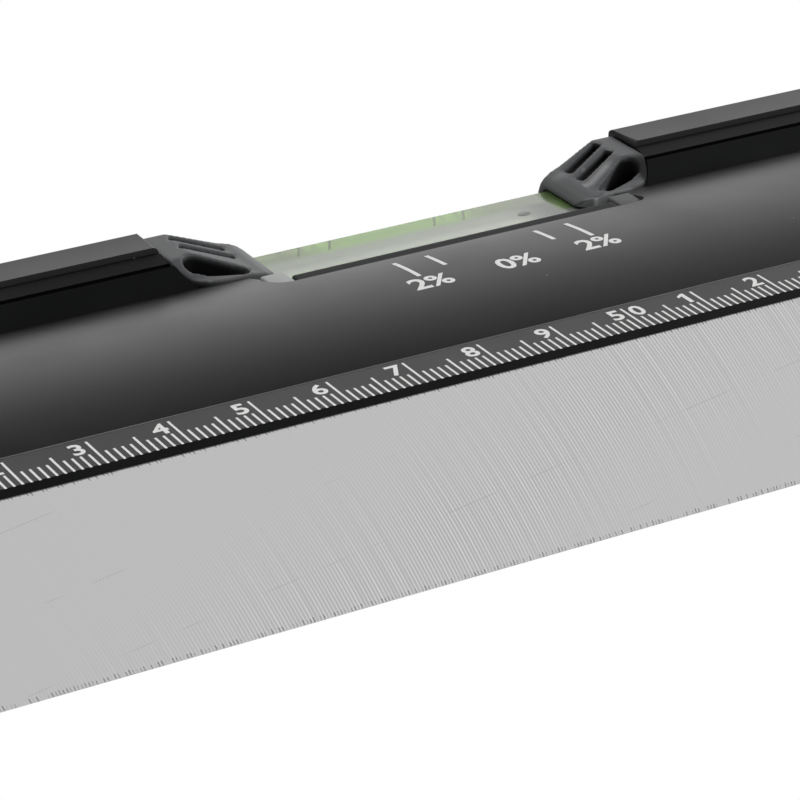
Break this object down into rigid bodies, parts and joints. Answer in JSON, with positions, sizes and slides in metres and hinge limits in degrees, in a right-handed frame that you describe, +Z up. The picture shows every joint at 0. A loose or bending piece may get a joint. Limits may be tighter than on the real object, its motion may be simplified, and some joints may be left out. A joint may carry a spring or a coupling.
{
  "type": "magnetic spirit level",
  "caption": "Straight spirit level with a milled magnetic base, a ruler edge, a clear centre vial in a window of the top rail, and plumb vials near the ends.",
  "frame": {"origin": "middle of the base face", "axes": "+X along the level to the right of its printed front, +Z up from the base, the printed front faces -Y"},
  "size_m": [1, 0.0296, 0.0555],
  "materials": {
    "coated_profile": "satin black coating, with the base milled bare",
    "black_plastic": "fine moulded texture",
    "bumper_rubber": "matt moulded rubber",
    "clear_acrylic": "clear polished acrylic",
    "green_liquid": "clear yellow-green liquid",
    "bubble": "air bubble",
    "ring_black": "matt black line",
    "magnet": "nickel plated",
    "steel_cup": "zinc plated"
  },
  "bodies": {
    "level": {"profile": "coated_profile", "left_end_cap": "black_plastic", "right_end_cap": "black_plastic", "left_bumper": "bumper_rubber", "right_bumper": "bumper_rubber", "centre_vial_block": "clear_acrylic", "centre_vial_liquid": "green_liquid", "centre_vial_rings": "ring_black", "centre_vial_plugs": "clear_acrylic", "vial_cradle": "black_plastic", "left_window_wedge": "black_plastic", "right_window_wedge": "black_plastic", "left_plumb_front_bezel": "black_plastic", "left_plumb_back_bezel": "black_plastic", "left_plumb_block": "clear_acrylic", "left_plumb_liquid": "green_liquid", "left_plumb_rings": "ring_black", "left_plumb_plug": "clear_acrylic", "right_plumb_front_bezel": "black_plastic", "right_plumb_back_bezel": "black_plastic", "right_plumb_block": "clear_acrylic", "right_plumb_liquid": "green_liquid", "right_plumb_rings": "ring_black", "right_plumb_plug": "clear_acrylic", "magnets": "magnet", "magnet_cups": "steel_cup"},
    "centre_bubble": {"centre_vial_bubble": "bubble"},
    "left_plumb_bubble": {"left_plumb_bubble": "bubble"},
    "right_plumb_bubble": {"right_plumb_bubble": "bubble"}
  },
  "joints": [
    {"name": "centre_bubble_slide", "type": "slide", "parent": "level", "child": "centre_bubble", "axis": [1, 0, 0], "range_m": [-0.0168, 0.0168], "stiffness_N_per_m": 0.5},
    {"name": "left_plumb_bubble_slide", "type": "slide", "parent": "level", "child": "left_plumb_bubble", "axis": [0, 0, 1], "range_m": [-0.0126, 0], "stiffness_N_per_m": 0.5, "springref_m": 0.012},
    {"name": "right_plumb_bubble_slide", "type": "slide", "parent": "level", "child": "right_plumb_bubble", "axis": [0, 0, 1], "range_m": [-0.0126, 0], "stiffness_N_per_m": 0.5, "springref_m": 0.012}
  ]
}
